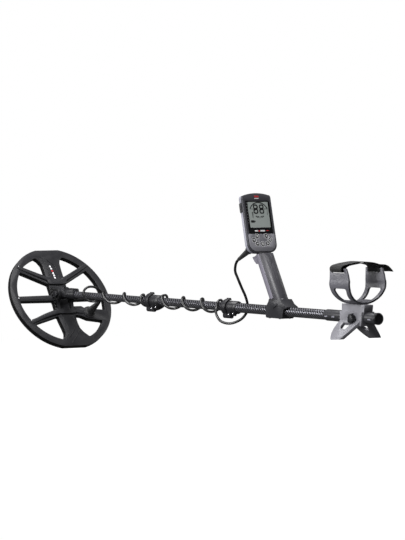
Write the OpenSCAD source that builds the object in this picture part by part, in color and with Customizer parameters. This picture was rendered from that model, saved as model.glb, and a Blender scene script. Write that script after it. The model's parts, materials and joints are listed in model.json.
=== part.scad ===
// Metal detector with a telescopic three-piece shaft, a flat double-D search coil,
// a control pod on a pistol grip, and an armrest with a two-legged stand.
// It is drawn along its shaft: X runs from the coil pivot to the rear, -Y is the
// user's left, Z is up. stand_up() then leans the shaft so the coil's lower edge and
// both feet rest on z = 0.

/* [Search coil] */
// Outer radius of the coil's rim
coil_r = 141; // [130:1:150]
// Distance from the coil's middle to each flat end
coil_flat = 137; // [128:1:138]
// Width of the rim ring
rim_w = 19; // [16:1:22]
// Thickness of the coil housing
coil_t = 12; // [11:1:14]
// Thickness of the skid plate under the housing
skid_t = 2; // [1.5:0.5:3]
// Pivot height above the coil's top face
coil_drop = 19; // [19:1:22]
// Angle between the coil's plane and the shaft at rest
coil_angle = 58.2; // [50:0.1:65]

/* [Shaft] */
// Outer diameter of the upper tube
upper_d = 22; // [22:0.1:22.4]
// Outer diameter of the middle tube
middle_d = 19.6; // [19.4:0.1:19.8]
// Outer diameter of the lower tube
lower_d = 17.2; // [17:0.1:17.4]
// Wall of each carbon tube
tube_wall = 1; // [0.9:0.05:1.05]
// Overlap of each tube inside the next one
tube_overlap = 90; // [60:5:90]
// Shaft position of the shaft's rear end
shaft_end = 1271; // [1265:1:1280]

/* [Control pod and grip] */
// Width of the pod
pod_w = 78; // [74:1:82]
// Height of the pod
pod_h = 136; // [130:1:142]
// Forward lean of the pod's face
pod_lean = 13.6; // [8:0.2:18]
// Lean of the grip from the shaft's normal
grip_lean = 30; // [28:0.2:32]
// Front-to-rear depth of the grip
grip_depth = 44; // [42:1:46]
// Side-to-side width of the grip
grip_width = 36; // [34:1:37]
// Travel of a front button
button_travel = 0.8; // [0.6:0.1:1]

/* [Armrest] */
// Half width of the cuff at its widest
cuff_half_w = 51; // [48:1:56]
// Sideways reach of each foot
foot_reach = 53; // [46:1:56]
// Depth of the feet below the shaft's axis
foot_drop = 46; // [44:1:50]

/* [Cable] */
// Diameter of the coil cable
cable_d = 6; // [5:0.5:6]

/* [Hidden] */
$fn = 64;
eps = 0.01;

// Stance: both feet and the coil's lower flat touch the floor
coil_theta = 90 - coil_angle;
coil_low = coil_drop + coil_t + skid_t;
rest_x = coil_flat * sin(coil_theta) - coil_low * cos(coil_theta);
rest_z = coil_flat * cos(coil_theta) + coil_low * sin(coil_theta);
foot_x = 1196;
shaft_pitch = atan((rest_z - foot_drop) / (foot_x - rest_x));
pivot_height = rest_x * sin(shaft_pitch) + rest_z * cos(shaft_pitch);
frame_shift = 587.9;

// Stations along the shaft
lower_front = 30;
lower_lock_x = 394;
upper_lock_x = 713;
lock_len = 46;
middle_front = lower_lock_x + 8;
upper_front = upper_lock_x + 8;
lower_rear = middle_front + tube_overlap;
middle_rear = upper_front + tube_overlap;
sleeve_x = 1090;
bush_len = 12;

// Coil details
inner_r = coil_r - rim_w;
spine_w = 50;
ear_in = 16;
ear_out = 24;
pivot_r = 4;
pivot_fit = 0.05;
shell_wall = 2.5;
gland_x = 45;
gland_y = 68;

// Lock details
lock_r = 14.8;
lever_in = 15.6;
lever_out = 18.8;
lock_pin_y = -7;
lock_pin_z = -20;
lock_pin_r = 2;

// Pod details
pod_x = 856;
pod_z = 128;
pod_wall = 13;
pod_depth = 28;
button_r = 4.6;
button_places = [[0, 19], [-12.5, 37.5], [12.5, 37.5], [-22.5, 29], [-14, 20.5], [14, 20.5], [22.5, 29]];

// Cable plug details
plug_x = 835.8;
plug_y = -25;
plug_z = 133.4;
plug_turn = -118;
plug_len = 47;

// Grip details
grip_foot_x = 929;
grip_top = 170;
neck_gap = 4;
grip_start = 22;
front_seam = 4;
battery_x = 3;

// Armrest details
cuff_x = 1163;
cuff_len = 67;
cuff_t = 4;
cuff_mid_z = 72;
cuff_wall_top = 105;
cuff_screw_steps = [24, 44];
stand_x = 1158;
stand_len = 78;
sleeve_r = 12.5;
knob_x = 1204;
leg_root_y = 13;
leg_root_z = -8;
leg_fall = atan((foot_drop + leg_root_z) / (foot_reach - leg_root_y));

// Cable routes: crests of the wraps, and the free stretches by hand
wrap_r = 13.2;
wrap_r_mid = 14.4;
lower_crests = [[-0.5, 134], [0, 183], [1, 278], [2, 362], [2.5, 380]];
middle_crests = [[0, 447], [1, 534], [2, 612], [3, 687], [3.25, 692]];
gland_tip = gland_x * [sin(coil_theta), 0, -cos(coil_theta)] + [0, gland_y, 0]
    + (56 - coil_drop) * [cos(coil_theta), 0, sin(coil_theta)];
plug_end = [plug_x + plug_len * sin(plug_turn), plug_y, plug_z + plug_len * cos(plug_turn)];
coil_route = concat([gland_tip], [[70, 66, -10], [90, 56, 0], [106, 42, 7], [116, 27, 15],
    [122, 9, 22], [122, -9, 21], [121, -19, 9], [125, -14, -8], [134, 0, -13.2]]);
lock_route = [[380, 0, -13.2], [385, 5, -19.5], [397, 10, -21.5], [411, 17, -17], [424, 21, -8],
    [434, 21, 3], [442, 13, 14], [447, 0, 14.4]];
upper_route = concat([[692, -14.4, 0], [695, -19, -7], [702, -21, -20], [713, -16, -33], [730, -3, -37],
    [750, 11, -28], [762, 19, -12], [768, 18, 6], [774, 8, 26], [779, -6, 46], [779, -17, 68],
    [776, -22, 84], [783, -25, 101]], [plug_end]);
// Directions in which one stretch of cable hands over to the next
gland_way = [cos(coil_theta), 0, sin(coil_theta)];
loop_way = [0.7, 0.7, 0];
lock_way = [0.4, 0.9, 0];
crest_way = [0.65, -0.75, 0];
front_way = [0.35, 0, -0.95];
plug_way = -[sin(plug_turn), 0, cos(plug_turn)];

module stand_up() {
    translate([-frame_shift, 0, pivot_height]) rotate([0, shaft_pitch, 0]) children();
}

// The coil's own frame: x to its heel, z out of its top face, origin on the pivot
module on_coil() {
    stand_up() rotate([0, coil_angle, 0]) children();
}

// The pod's own frame: x out of its face, z up the face, origin at the face's foot
module on_pod() {
    stand_up() translate([pod_x, 0, pod_z]) rotate([0, -pod_lean, 0]) children();
}

// The cable plug's own frame: z from the pod out along the plug, origin at the socket's mouth
module on_plug() {
    stand_up() translate([plug_x, plug_y, plug_z]) rotate([0, plug_turn, 0]) children();
}

// The grip's own frame: z up the grip, x to the rear
module on_grip() {
    stand_up() translate([grip_foot_x, 0, 0]) rotate([0, -grip_lean, 0]) children();
}

// A cylinder along X from x1 to x2
module rod_x(r, x1, x2) {
    translate([x1, 0, 0]) rotate([0, 90, 0]) cylinder(r = r, h = x2 - x1);
}

// A cylinder along Y from y1 to y2
module rod_y(r, y1, y2) {
    translate([0, y1, 0]) rotate([-90, 0, 0]) cylinder(r = r, h = y2 - y1);
}

module pipe_x(r_out, r_in, x1, x2) {
    difference() {
        rod_x(r_out, x1, x2);
        rod_x(r_in, x1 - 1, x2 + 1);
    }
}

// A flat outline drawn in X-Z, extruded along Y from y1 to y2
module side_plate(y1, y2) {
    translate([0, y2, 0]) rotate([90, 0, 0]) linear_extrude(y2 - y1) children();
}

// ---- Search coil ----

module coil_outline() {
    intersection() {
        circle(coil_r, $fn = 96);
        square([2 * coil_flat, 2 * coil_r], center = true);
    }
}

module spoke(x1, x2, y2, w1, w2) {
    polygon([[x1 - w1 / 2, 20], [x1 + w1 / 2, 20], [x2 + w2 / 2, y2], [x2 - w2 / 2, y2]]);
}

// Spine of the coil, waisted between its two flared ends
module spine_outline() {
    polygon([[-136, -72], [-127, -62], [-119, -46], [-109, -33], [-96, -26], [-80, -25], [40, -25],
        [62, -24], [84, -20], [98, -18.5], [109, -22], [117, -32], [122, -46], [128, -62],
        [136, -74], [136, 74], [127, 66], [119, 56], [110, 45], [99, 34], [88, 27], [74, 25],
        [-80, 25], [-98, 26], [-109, 30], [-117, 40], [-121, 54], [-127, 68], [-136, 76]]);
}

module web_outline() {
    spine_outline();
    for (side = [-1, 1]) scale([1, side]) {
        spoke(-46, -88, 106, 18, 15);
        spoke(0, 0, 124, 15, 13);
    }
    scale([1, -1]) spoke(42, 69, 112, 18, 14);
    polygon([[26, 20], [50, 20], [53, 42], [62, 60], [71, 113], [70, 124], [40, 128], [33, 60],
        [26, 50]]);
    translate([gland_x, gland_y]) circle(17, $fn = 48);
}

module windows() {
    offset(r = 2.5, $fn = 24) offset(delta = -2.5) difference() {
        circle(inner_r, $fn = 96);
        web_outline();
    }
}

module coil_plan() {
    difference() {
        coil_outline();
        windows();
    }
}

module ear(y1) {
    side_plate(y1, y1 + ear_out - ear_in)
        polygon([[-30, -coil_drop - 2], [40, -coil_drop - 2], [36, -14], [22, -10], [16, -4],
            [13, 5], [8, 11], [0, 14], [-8, 11], [-12, 4], [-17, -5], [-26, -12]]);
}

// Raised rib that bows across the spine and runs out along two spokes
module bow_rib(x, reach) {
    translate([0, 0, -coil_drop - 1])
        linear_extrude(6) polygon([[x - 6, -27], [x + 6, -27], [x + 8, 0], [x + 6, reach],
            [x - 6, reach], [x - 4, 0]]);
}

module coil_housing() color("#26262a") on_coil() difference() {
    union() {
        translate([0, 0, -coil_drop - coil_t]) linear_extrude(coil_t) coil_plan();
        ear(-ear_out);
        ear(ear_in);
        bow_rib(-44, 27);
        bow_rib(40, 27);
        translate([gland_x, gland_y, -coil_drop - 1]) cylinder(r = 16, h = 4);
    }
    translate([0, 0, -coil_drop - coil_t - 1]) linear_extrude(9)
        offset(delta = -shell_wall) coil_plan();
    rod_y(pivot_r + pivot_fit, -ear_out - 1, ear_out + 1);
}

module coil_skid_plate() color("#161618") on_coil()
    translate([0, 0, -coil_low]) linear_extrude(skid_t) coil_plan();

// A D-shaped winding: half of the rim, closed along the spine
module d_loop(side) {
    difference() {
        intersection() {
            circle(coil_r - 7, $fn = 96);
            scale([1, side]) translate([-coil_flat + 6, -14])
                square([2 * coil_flat - 12, coil_r + 14]);
        }
        intersection() {
            circle(coil_r - 12, $fn = 96);
            scale([1, side]) translate([-coil_flat + 11, -9])
                square([2 * coil_flat - 22, coil_r + 9]);
        }
    }
}

module coil_tx_winding() color("#b06a35") on_coil()
    translate([0, 0, -coil_drop - 11]) linear_extrude(3) d_loop(-1);

module coil_rx_winding() color("#c07a40") on_coil()
    translate([0, 0, -coil_drop - 7.6]) linear_extrude(3) d_loop(1);

module cable_gland() color("#1a1a1c") on_coil() translate([gland_x, gland_y, -coil_drop + 3])
    rotate_extrude() polygon([[0, 0], [13, 0], [13, 3], [10, 6], [8.5, 14], [4.6, 53], [0, 53]]);

// ---- Coil pivot ----

module coil_bolt() color("#202022") on_coil() {
    rod_y(pivot_r, -ear_out - 6, ear_out + 8);
    rod_y(8, -ear_out - 6, -ear_out);
}

module coil_nut() color("#242426") on_coil() difference() {
    union() {
        rod_y(7, ear_out, ear_out + 3);
        for (k = [0:5]) rotate([0, 60 * k, 0])
            translate([0, ear_out + 5.5, 8]) cube([5, 5, 6], center = true);
        rod_y(9.5, ear_out + 3, ear_out + 8);
    }
    rod_y(pivot_r + pivot_fit, ear_out - 1, ear_out + 9);
}

module shaft_yoke() color("#1e1e20") stand_up() difference() {
    union() {
        rod_y(12.5, -ear_in + 2, ear_in - 2);
        rod_x(11.5, 0, 56);
        translate([10, -9, 3]) cube([44, 18, 10]);
        for (k = [0:3]) translate([16 + 10 * k, -9, 13]) cube([5, 18, 2]);
        translate([0, -13, -6]) cube([24, 26, 12]);
    }
    rod_y(pivot_r + pivot_fit, -20, 20);
    rod_x(lower_d / 2, lower_front, 57);
}

module yoke_washers() color("#101011") stand_up() for (side = [-1, 1])
    translate([0, side * (ear_in - 1), 0]) difference() {
        rod_y(11, -1, 1);
        rod_y(pivot_r + pivot_fit, -2, 2);
    }

// ---- Telescopic tubes ----

module lower_tube() color("#2e2e32") stand_up()
    pipe_x(lower_d / 2, lower_d / 2 - tube_wall, lower_front, lower_rear);

module middle_tube() color("#2e2e32") stand_up()
    pipe_x(middle_d / 2, middle_d / 2 - tube_wall, middle_front, middle_rear);

module upper_tube() color("#2e2e32") stand_up()
    pipe_x(upper_d / 2, upper_d / 2 - tube_wall, upper_front, shaft_end - 4);

// Slide bush: a spigot glued in a tube's rear end, with a collar that runs in the next tube
module slide_bush(tube_d, outer_id, rear) {
    pipe_x(tube_d / 2 - tube_wall, 5, rear - 8, rear);
    pipe_x(outer_id / 2 - pivot_fit, 5, rear, rear + bush_len - 8);
}

module lower_bush() color("#3a3a3e") stand_up()
    slide_bush(lower_d, middle_d - 2 * tube_wall, lower_rear);

module middle_bush() color("#3a3a3e") stand_up()
    slide_bush(middle_d, upper_d - 2 * tube_wall, middle_rear);

// ---- Cam locks ----

// Collar over the front end of a tube, with a lip that the next smaller tube runs in
module lock_collar(x, tube_r, inner_r) {
    difference() {
        union() {
            rod_x(lock_r, x, x + lock_len - 4);
            translate([x + lock_len - 4, 0, 0]) rotate([0, 90, 0])
                cylinder(r1 = lock_r, r2 = tube_r + 1.4, h = 4);
            translate([x + 17, lock_pin_y, lock_pin_z]) rod_x(5.2, 0, 12);
            translate([x + 17, lock_pin_y - 5.2, lock_pin_z]) cube([12, 10.4, 14]);
            translate([x + 33, lock_pin_y + 1, -15]) rod_x(4.2, 0, 8);
            translate([x + 33, lock_pin_y - 3.2, -15]) cube([8, 8.4, 8]);
        }
        rod_x(tube_r, x + 8, x + lock_len + 1);
        rod_x(inner_r + 0.1, x - 1, x + 9);
        translate([0, lock_pin_y, lock_pin_z]) rod_x(lock_pin_r, x + 16, x + 27);
    }
}

module lock_pin(x) {
    translate([0, lock_pin_y, lock_pin_z]) {
        rod_x(lock_pin_r, x - 1, x + 26);
        rod_x(3.4, x - 2.5, x - 1);
    }
}

// Two button-head screws in the collar's lugs
module lock_screws(x) {
    for (p = [[x + 23, lock_pin_y - 5.2, -17], [x + 37, lock_pin_y - 3.2, -14]])
        translate(p) rod_y(2.3, -1.4, 0);
}

// Curved lever that hugs the collar from its lug over to the top
module lock_lever(x) {
    difference() {
        union() {
            intersection() {
                pipe_x(lever_out, lever_in, x, x + 15);
                translate([x, 0, 0]) rotate([90, 0, 90]) linear_extrude(15)
                    polygon([[0, 0], [3, 30], [-30, 30], [-30, -30], [-11, -30]]);
            }
            translate([x, lock_pin_y, lock_pin_z]) rod_x(5.2, 0, 15);
            translate([x, lock_pin_y - 5.2, lock_pin_z]) cube([15, 3.6, 6]);
            translate([x + 2, -3, lever_out - 1]) cube([11, 5, 3]);
        }
        translate([0, lock_pin_y, lock_pin_z]) rod_x(lock_pin_r + pivot_fit, x - 1, x + 16);
        rod_x(lever_in, x - 1, x + 16);
    }
}

module lower_lock_collar() color("#222224") stand_up()
    lock_collar(lower_lock_x, middle_d / 2, lower_d / 2);
module lower_lock_pin() color("#a8a8ac") stand_up() lock_pin(lower_lock_x);
module lower_lock_screws() color("#c8c8cc") stand_up() lock_screws(lower_lock_x);
module lower_lock_lever() color("#2a2a2d") stand_up() lock_lever(lower_lock_x);
module upper_lock_collar() color("#222224") stand_up()
    lock_collar(upper_lock_x, upper_d / 2, middle_d / 2);
module upper_lock_pin() color("#a8a8ac") stand_up() lock_pin(upper_lock_x);
module upper_lock_screws() color("#c8c8cc") stand_up() lock_screws(upper_lock_x);
module upper_lock_lever() color("#2a2a2d") stand_up() lock_lever(upper_lock_x);

// ---- Rear sleeve and end cap ----

module rear_sleeve() color("#3a3a3e") stand_up() difference() {
    union() {
        rod_x(sleeve_r, sleeve_x + 4, shaft_end - 4);
        translate([sleeve_x, 0, 0]) rotate([0, 90, 0])
            cylinder(r1 = upper_d / 2 + 0.4, r2 = sleeve_r, h = 4);
    }
    rod_x(upper_d / 2, sleeve_x - 1, shaft_end);
    for (k = [0:6]) translate([sleeve_x + 12 + 25 * k, 0, 0])
        for (side = [-1, 1]) translate([0, side * sleeve_r, -2]) cube([12, 1.6, 4], center = true);
}

module end_cap() color("#1c1c1e") stand_up() {
    rod_x(sleeve_r + 0.4, shaft_end - 4, shaft_end);
    rod_x(upper_d / 2 - tube_wall, shaft_end - 16, shaft_end - 4);
}

// ---- Grip ----

module grip_oval(inset) {
    scale([grip_depth / grip_width, 1]) circle(grip_width / 2 - inset);
}

// Half planes that part the grip into its two rear shells
module grip_half(side) {
    intersection() {
        grip_oval(0);
        translate([front_seam, side < 0 ? -30 : 0]) square([60, 30]);
    }
}

// Everything that the grip's three shells are cut back from
module grip_cuts() {
    translate([battery_x, 0, 40]) cylinder(r = 10, h = 72);
    rotate([0, grip_lean, 0]) translate([-grip_foot_x, 0, 0]) {
        side_plate(-20, 20) clamp_profile();
        translate([pod_x, 0, pod_z]) rotate([0, -pod_lean, 0])
            translate([-90, -30, -neck_gap]) cube([180, 60, 80]);
        side_plate(-30, 30) polygon([[858, 150], [858, 130.5], [864, 130], [870, 128.4],
            [876, 125.2], [881, 121], [885.5, 116], [889.5, 110.5], [893, 104.5], [905, 104.5],
            [905, 150]]);
    }
}

module grip_shell(side) {
    difference() {
        translate([0, 0, grip_start]) linear_extrude(grip_top - grip_start) grip_half(side);
        grip_cuts();
    }
}

module grip_left_shell() color("#3c3c42") on_grip() grip_shell(-1);
module grip_right_shell() color("#3c3c42") on_grip() grip_shell(1);

module grip_front_shell() color("#6e6c76") on_grip() difference() {
    union() {
        translate([0, 0, grip_start + 10]) linear_extrude(grip_top - grip_start - 10)
            difference() {
                grip_oval(0);
                translate([front_seam, -30]) square(60);
            }
        rotate([0, grip_lean, 0]) translate([-grip_foot_x, 0, 0]) side_plate(-10, 10)
            polygon([[856, 103], [841, 102], [833, 108], [826, 116], [821, 130], [856, 130]]);
    }
    grip_cuts();
    translate([front_seam, -30, grip_start]) cube([60, 60, grip_top]);
}

module clamp_profile() {
    polygon([[886, -13], [889, -15.5], [945, -15.5], [948, -13], [952, 6], [963, 8], [963, 11],
        [950, 17], [940, 27], [898, 27], [895, 20], [886, 9]]);
}

// Clamp block that carries the grip and closes round the upper tube
module grip_clamp() color("#2a2a2e") stand_up() difference() {
    union() {
        side_plate(-16, 16) clamp_profile();
        on_grip_seat();
    }
    rod_x(upper_d / 2, 880, 970);
    for (side = [-1, 1]) for (x = [898, 936])
        translate([x, side * 13.5, -16]) cylinder(r = 1.6, h = 6);
}

// Neck of the clamp block under the grip's shells
module on_grip_seat() {
    translate([grip_foot_x, 0, 0]) rotate([0, -grip_lean, 0])
        translate([0, 0, 12]) linear_extrude(grip_start - 12) grip_oval(0);
}

module grip_screws() color("#9a9a9e") stand_up()
    for (side = [-1, 1]) for (x = [898, 936]) translate([x, side * 13.5, -16.5]) {
        cylinder(r = 2.2, h = 1);
        cylinder(r = 1.6, h = 6.5);
    }

module battery_cell() color("#3d6a8c") on_grip() {
    translate([battery_x, 0, 42]) cylinder(r = 9.2, h = 64);
    translate([battery_x, 0, 106]) cylinder(r = 3, h = 1.2);
}

// ---- Control pod ----

module pod_outline(inset) {
    wide = pod_w - 2 * inset;
    intersection() {
        translate([0, inset]) rounded_foot(wide, 20);
        translate([0, pod_h - inset]) mirror([0, 1]) rounded_foot(wide, 12);
        translate([0, pod_h - 128 - inset]) circle(128 + 0.01, $fn = 180);
        translate([0, 166 + inset]) circle(167, $fn = 180);
    }
}

// A tall plate whose two bottom corners are rounded
module rounded_foot(wide, r) {
    for (side = [-1, 1]) translate([side * (wide / 2 - r), r]) circle(r);
    translate([-wide / 2 + r, 0]) square([wide - 2 * r, pod_h + 20]);
    translate([-wide / 2, r]) square([wide, pod_h]);
}

// Stand an outline drawn in Y-Z on the pod's face, from depth x1 to depth x2
module on_face(x1, x2) {
    translate([x1, 0, 0]) rotate([90, 0, 90]) linear_extrude(x2 - x1) children();
}

module window_outline() {
    translate([0, 80.7]) square([65, 74.6], center = true);
}

module pod_front_shell() color("#3e3e44") on_pod() difference() {
    on_face(-6, 0) pod_outline(0);
    on_face(-1.5, 1) window_outline();
    on_face(-7, 1) translate([0, 86.5]) square([56, 59], center = true);
    for (p = button_places) translate([0, p[0], p[1]]) rod_x(button_r + 0.3, -7, 1);
}

// Foot of the rear shell, which stands on top of the grip
module pod_neck() {
    translate([0, 0, -neck_gap]) intersection() {
        linear_extrude(neck_gap + 1) scale([1.3, 1]) circle(15);
        translate([-14, -20, 0]) cube([8, 40, 10]);
    }
}

module pod_rear_shell() color("#8a8a92") difference() {
    on_pod() union() {
        pod_neck();
        on_face(-pod_wall, -6) pod_outline(0);
        hull() {
            on_face(-pod_wall - 1, -pod_wall) pod_outline(2);
            translate([-pod_depth, 0, 70]) cube([1, 46, 92], center = true);
        }
    }
    on_pod() {
        on_face(-pod_wall - 1, -5) pod_outline(3);
        translate([-19, 0, 70]) cube([13, 50, 90], center = true);
        translate([-10, -37, 104]) cube([8, 8, 22], center = true);
        translate([-17, 20, -1]) cylinder(r = 4, h = 20);
        translate([0, 0, 112]) rod_x(6.8, -pod_depth - 2, -pod_depth + 4);
    }
    on_plug() {
        translate([0, 0, -7]) cylinder(r = 7, h = 30);
        cylinder(r = 8.8, h = 20);
    }
}

module display_window() color("#0b0b0d") on_pod()
    on_face(-1.5, 0.2) window_outline();

module lcd_panel() color("#84908a") on_pod()
    on_face(-4.6, -1.6) translate([0, 86.5]) square([55, 58], center = true);

module main_board() color("#1f6b3a") on_pod()
    translate([-10, -30, 12]) cube([1.6, 60, 106]);

module keypad_mat() color("#55555c") on_pod()
    on_face(-8, -6.4) translate([0, 29]) square([60, 34], center = true);

module pod_button(i) {
    translate([0, button_places[i][0], button_places[i][1]]) {
        rod_x(button_r, -5, 0.9);
        rod_x(1.6, -6.4 + button_travel + 0.1, -5);
    }
}

module power_button() color("#2a2a2e") on_pod() pod_button(0);
module menu_button() color("#2a2a2e") on_pod() pod_button(1);
module up_button() color("#2a2a2e") on_pod() pod_button(2);
module down_button() color("#2a2a2e") on_pod() pod_button(3);
module left_button() color("#2a2a2e") on_pod() pod_button(4);
module right_button() color("#2a2a2e") on_pod() pod_button(5);
module mode_button() color("#2a2a2e") on_pod() pod_button(6);

module side_button() color("#4a4a50") on_pod() {
    translate([-10, -38.2, 104]) cube([7, 4, 21], center = true);
    for (k = [-3:3]) translate([-10, -40.4, 104 + 2.6 * k]) cube([6.4, 1, 1.3], center = true);
}

module speaker() color("#18181a") on_pod() {
    translate([-21, 0, 60]) rod_x(14, 0, 5);
    translate([-16, 0, 60]) rod_x(9, 0, 3);
}

module cable_socket() color("#17171a") on_plug() difference() {
    translate([0, 0, -7]) cylinder(r = 7, h = 7);
    translate([0, 0, -5.5]) cylinder(r = 4.5, h = 6);
}

module headphone_socket() color("#17171a") on_pod() translate([-17, 20, 1]) difference() {
    cylinder(r = 4, h = 17);
    translate([0, 0, -1]) cylinder(r = 1.8, h = 16);
}

module torch_lens() color("#e8eef2") on_pod()
    translate([0, 0, 112]) rod_x(6.8, -pod_depth - 0.9, -pod_depth + 4);

// ---- Armrest ----

module cuff_arc(inset) {
    translate([0, cuff_mid_z]) scale([cuff_half_w / 44, 1]) circle(44 - inset, $fn = 128);
    translate([-cuff_half_w + 1 + inset, cuff_mid_z])
        square([2 * cuff_half_w - 2 - 2 * inset, 80]);
}

module armrest_cuff() color("#6a6a70") stand_up() difference() {
    translate([cuff_x - 4, 0, 0]) rotate([90, 0, 90]) linear_extrude(cuff_len + 6) difference() {
        cuff_arc(0);
        cuff_arc(cuff_t);
        translate([-80, cuff_wall_top]) square([160, 80]);
    }
    side_plate(-70, 70) polygon([[cuff_x - 8, 26], [cuff_x + 12, 26], [cuff_x + 5, 48],
        [cuff_x + 2, 70], [cuff_x + 3, 110], [cuff_x - 8, 110]]);
    side_plate(-70, 70) polygon([[cuff_x + 58, 26], [cuff_x + 65, 45], [cuff_x + 69, 62],
        [cuff_x + 69, 78], [cuff_x + 65, 92], [cuff_x + 56, 110], [cuff_x + 80, 110],
        [cuff_x + 80, 26]]);
    side_plate(-70, 70) polygon([[cuff_x + 19, 37], [cuff_x + 51, 37], [cuff_x + 58, 58],
        [cuff_x + 55, 62], [cuff_x + 18, 62], [cuff_x + 15, 58]]);
    translate([cuff_x + 10, -70, cuff_wall_top - 10]) cube([43, 140, 5]);
    for (step = cuff_screw_steps) translate([cuff_x + step, 0, 20]) {
        cylinder(r = 2.2, h = 20);
        translate([0, 0, cuff_mid_z - 44 + cuff_t - 20]) cylinder(r = 4.2, h = 3);
    }
}

module cuff_screws() color("#b4b4b8") stand_up()
    for (step = cuff_screw_steps) translate([cuff_x + step, 0, 22]) {
        cylinder(r = 2, h = 10);
        translate([0, 0, cuff_mid_z - 44 + cuff_t - 22]) cylinder(r = 4, h = 2);
    }

// A plate in the plane of a splayed leg: x along the shaft, y down the leg from the hub
module leg_plate(side, thick) {
    mirror([0, side < 0 ? 1 : 0, 0]) translate([0, leg_root_y, leg_root_z])
        rotate([-leg_fall, 0, 0]) linear_extrude(thick, center = true) children();
}

module stand_leg(side) {
    difference() {
        intersection() {
            leg_plate(side, 7) polygon([[stand_x + 1, -4], [stand_x + 75, -4], [stand_x + 70, 3],
                [stand_x + 55, 46], [stand_x + 51, 54], [stand_x + 45, 62], [stand_x + 27, 62],
                [stand_x + 20, 58], [stand_x + 14, 51], [stand_x + 8, 42], [stand_x + 3, 29],
                [stand_x + 1, 14]]);
            rotate([0, -shaft_pitch, 0]) translate([1100, -80, -pivot_height])
                cube([200, 160, 200]);
        }
        leg_plate(side, 20) polygon([[stand_x + 18, 8], [stand_x + 48, 8], [stand_x + 42, 27],
            [stand_x + 26, 27], [stand_x + 20, 20]]);
    }
}

module armrest_stand() color("#7a7a80") stand_up() difference() {
    union() {
        side_plate(-11.5, 11.5) polygon([[stand_x, 0], [stand_x, 28], [stand_x + stand_len, 28],
            [stand_x + stand_len + 1, 26], [stand_x + stand_len - 3, 0]]);
        side_plate(-17, 17) polygon([[stand_x, 12], [stand_x + stand_len - 2, 13],
            [stand_x + stand_len - 4, -17], [stand_x + 1, -17]]);
        stand_leg(-1);
        stand_leg(1);
    }
    rod_x(sleeve_r + 0.05, stand_x - 10, stand_x + stand_len + 10);
    translate([knob_x, 0, -2]) rod_y(11.5, -40, -14.5);
    translate([knob_x, 0, -2]) rod_y(4.05, -15, -10);
    for (step = cuff_screw_steps) translate([cuff_x + step, 0, 20]) cylinder(r = 2, h = 10);
}

module armrest_knob() color("#141416") stand_up() translate([knob_x, 0, -2]) {
    rod_y(4, -16, -12.6);
    translate([0, -16, 0]) rotate([90, 0, 0]) linear_extrude(10) {
        circle(8);
        for (k = [0:2]) rotate(120 * k + 20) translate([0, 7]) circle(3.2);
    }
}

// Webbing strap over the cuff, with its rolled left end and its free right tail
module arm_strap() color("#151517") stand_up() {
    translate([cuff_x + 12, 0, 0]) rotate([90, 0, 90]) linear_extrude(40)
        polygon([[-57, 98.4], [-57, 107], [-51, 110.8], [-30, 115.6], [0, 119], [30, 117.4],
            [48, 113], [62, 112.6], [71, 109.5], [83, 97], [81, 95.4], [69, 105.6], [60, 107.4],
            [50.5, 106.6], [47, 107], [28, 112.4], [0, 114.6], [-28, 111], [-46, 106.6],
            [-52, 105.4], [-53, 98.4]]);
}

// ---- Coil cable ----

cable_sides = 8;

// Rings of a tube of radius r along a route, each turned square to the route there
function unit(v) = v / norm(v);
function heading(p, i, ways) = i == 0 ? unit(ways[0]) : i == len(p) - 1 ? unit(ways[1]) :
    unit(p[i + 1] - p[i - 1]);
function side_of(t, s) = unit(s - (s * t) * t);
function sides_along(p, ways, i = 0, s = [0.3, 0.5, 0.8]) = i == len(p) ? [] :
    let (n = side_of(heading(p, i, ways), s)) concat([n], sides_along(p, ways, i + 1, n));
function ring(c, n, b, r) = [for (k = [0:cable_sides - 1])
    let (a = 360 * k / cable_sides) c + r * (cos(a) * n + sin(a) * b)];

// ways: the directions of the cable at the route's two ends
module swept_cable(route, ways) {
    count = len(route);
    sides = sides_along(route, ways);
    rings = [for (i = [0:count - 1])
        each ring(route[i], sides[i], cross(heading(route, i, ways), sides[i]), cable_d / 2)];
    walls = [for (i = [0:count - 2]) for (k = [0:cable_sides - 1]) let (
        a = i * cable_sides + k, b = i * cable_sides + (k + 1) % cable_sides)
        [a, a + cable_sides, b + cable_sides, b]];
    first = [for (k = [0:cable_sides - 1]) k];
    last = [for (k = [0:cable_sides - 1]) count * cable_sides - 1 - k];
    polyhedron(points = rings, faces = concat(walls, [first, last]));
}

// A wrap round the shaft: crests gives the shaft position at each whole turn
function wrap(crests, r, t1, t2, steps) = [for (i = [0:steps])
    let (t = t1 + (t2 - t1) * i / steps)
    [lookup(t, crests), -r * sin(360 * t), r * cos(360 * t)]];

module cable_coil_end() color("#1b1b1d") stand_up()
    swept_cable(coil_route, [gland_way, loop_way]);
module cable_lower_wrap() color("#1b1b1d") stand_up()
    swept_cable(wrap(lower_crests, wrap_r, -0.5, 2.5, 24), [loop_way, lock_way]);
module cable_lock_pass() color("#1b1b1d") stand_up()
    swept_cable(lock_route, [lock_way, crest_way]);
module cable_middle_wrap() color("#1b1b1d") stand_up()
    swept_cable(wrap(middle_crests, wrap_r_mid, 0, 3.25, 26), [crest_way, front_way]);
module cable_upper_end() color("#1b1b1d") stand_up()
    swept_cable(upper_route, [front_way, plug_way]);

module cable_plug() color("#1d1d1f") on_plug() {
    translate([0, 0, -5]) cylinder(r = 4.4, h = 10);
    translate([0, 0, 5]) cylinder(r1 = 6.4, r2 = 4.2, h = plug_len - 5);
}

module plug_ring() color("#232326") on_plug() translate([0, 0, 0.3]) difference() {
    cylinder(r = 8.4, h = 4.4);
    translate([0, 0, -1]) cylinder(r = 4.45, h = 8);
}

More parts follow.
